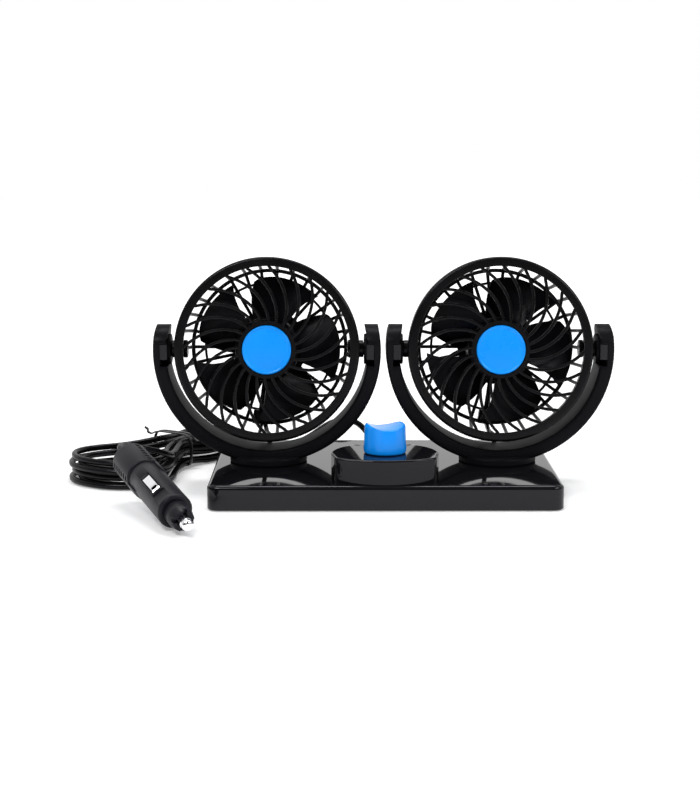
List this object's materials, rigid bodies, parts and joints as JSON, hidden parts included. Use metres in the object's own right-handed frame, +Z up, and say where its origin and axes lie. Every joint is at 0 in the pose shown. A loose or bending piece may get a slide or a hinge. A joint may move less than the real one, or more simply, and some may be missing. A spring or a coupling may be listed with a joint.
{
  "type": "dual head car fan",
  "caption": "Dash-top car fan: two caged fan heads on swivelling, tilting yokes over a flat base with a speed knob, a tied cord and a vehicle socket plug.",
  "frame": {"origin": "centre of the base at the level of its rubber feet", "axes": "+Z up, -Y towards the knob and the fans' fronts, +X along the base to the viewer's right"},
  "size_m": [0.3451, 0.2512, 0.145],
  "materials": {
    "gloss_black": "mirror-gloss moulded black",
    "dark_plate": "fine matte black",
    "satin_black": "satin black",
    "cage_black": "satin black",
    "blade_black": "glossy black",
    "blue_knob": "glossy bright blue",
    "blue_cap": "glossy bright blue",
    "plug_black": "matte blue-black",
    "black_rubber": "soft black sheath and feet",
    "tie_wire": "plastic-covered wire",
    "steel": "plain steel",
    "bright_contact": "bright nickel plating",
    "motor_can": "black painted can",
    "switch_body": "dark moulding",
    "pale_ceramic": "pale ceramic block",
    "white_washer": "off-white slippery plastic",
    "fuse_glass": "glass tube fuse"
  },
  "bodies": {
    "base": {"base_cover": "gloss_black", "base_plate": "dark_plate", "base_screw_1": "steel", "base_screw_2": "steel", "base_screw_3": "steel", "base_screw_4": "steel", "switch_nut": "steel", "front_rubber_foot": "black_rubber", "rear_rubber_foot": "black_rubber", "cord_gland": "black_rubber", "cord_tail": "black_rubber", "cord_hank": "black_rubber", "cord_lead": "black_rubber", "plug_strain_relief": "black_rubber", "cord_tie": "tie_wire", "rotary_switch": "switch_body", "speed_resistor": "pale_ceramic", "plug_body": "plug_black", "plug_grip": "plug_black", "plug_nose": "plug_black", "plug_spring": "bright_contact"},
    "knob": {"control_knob": "blue_knob", "switch_shaft": "steel"},
    "plug_tip": {"plug_tip": "bright_contact", "plug_fuse": "fuse_glass"},
    "plug_upper_contact": {"plug_upper_contact": "bright_contact"},
    "plug_lower_contact": {"plug_lower_contact": "bright_contact"},
    "left_swivel_arm": {"left_yoke": "satin_black", "left_friction_washer": "white_washer", "left_spindle_nut": "steel", "left_lead_grommet": "black_rubber", "left_lead_loop": "black_rubber"},
    "left_head": {"left_front_grille": "satin_black", "left_hub_cap": "blue_cap", "left_rear_cage": "cage_black", "left_motor": "motor_can", "left_motor_screw_1": "steel", "left_motor_screw_2": "steel", "left_pivot_pin_1": "satin_black", "left_pivot_pin_2": "satin_black", "left_motor_lead": "black_rubber"},
    "left_fan": {"left_fan_rotor": "blade_black", "left_motor_shaft": "steel"},
    "right_swivel_arm": {"right_yoke": "satin_black", "right_friction_washer": "white_washer", "right_spindle_nut": "steel", "right_lead_grommet": "black_rubber", "right_lead_loop": "black_rubber"},
    "right_head": {"right_front_grille": "satin_black", "right_hub_cap": "blue_cap", "right_rear_cage": "cage_black", "right_motor": "motor_can", "right_motor_screw_1": "steel", "right_motor_screw_2": "steel", "right_pivot_pin_1": "satin_black", "right_pivot_pin_2": "satin_black", "right_motor_lead": "black_rubber"},
    "right_fan": {"right_fan_rotor": "blade_black", "right_motor_shaft": "steel"}
  },
  "joints": [
    {"name": "knob_turn", "type": "hinge", "parent": "base", "child": "knob", "pos_m": [0, -0.045, 0.03], "axis": [0, 0, 1], "range_deg": [-60, 60]},
    {"name": "plug_tip_press", "type": "slide", "parent": "base", "child": "plug_tip", "axis": [-0.4209, 0.8897, 0.177], "range_m": [0, 0.0035], "stiffness_N_per_m": 1500, "springref_m": -0.002, "deforming": ["plug_spring"]},
    {"name": "plug_upper_contact_press", "type": "slide", "parent": "base", "child": "plug_upper_contact", "axis": [0.5134, 0.3945, -0.7621], "range_m": [0, 0.001], "stiffness_N_per_m": 2000, "springref_m": -0.0005},
    {"name": "plug_lower_contact_press", "type": "slide", "parent": "base", "child": "plug_lower_contact", "axis": [-0.5134, -0.3945, 0.7621], "range_m": [0, 0.001], "stiffness_N_per_m": 2000, "springref_m": -0.0005},
    {"name": "left_swivel", "type": "hinge", "parent": "base", "child": "left_swivel_arm", "pos_m": [-0.0725, 0.0044, 0.0156], "axis": [0, 0, 1], "range_deg": [-170, 170]},
    {"name": "left_tilt", "type": "hinge", "parent": "left_swivel_arm", "child": "left_head", "pos_m": [-0.0725, 0.0044, 0.0865], "axis": [-1, 0, 0], "range_deg": [-35, 50], "deforming": ["left_lead_loop"]},
    {"name": "left_fan_spin", "type": "hinge", "parent": "left_head", "child": "left_fan", "pos_m": [-0.0725, 0.0044, 0.0865], "axis": [0, -0.9962, 0.0872], "continuous": true},
    {"name": "right_swivel", "type": "hinge", "parent": "base", "child": "right_swivel_arm", "pos_m": [0.0725, 0.0044, 0.0156], "axis": [0, 0, 1], "range_deg": [-170, 170]},
    {"name": "right_tilt", "type": "hinge", "parent": "right_swivel_arm", "child": "right_head", "pos_m": [0.0725, 0.0044, 0.0865], "axis": [-1, 0, 0], "range_deg": [-35, 50], "deforming": ["right_lead_loop"]},
    {"name": "right_fan_spin", "type": "hinge", "parent": "right_head", "child": "right_fan", "pos_m": [0.0725, 0.0044, 0.0865], "axis": [0, -0.9962, 0.0872], "continuous": true}
  ]
}
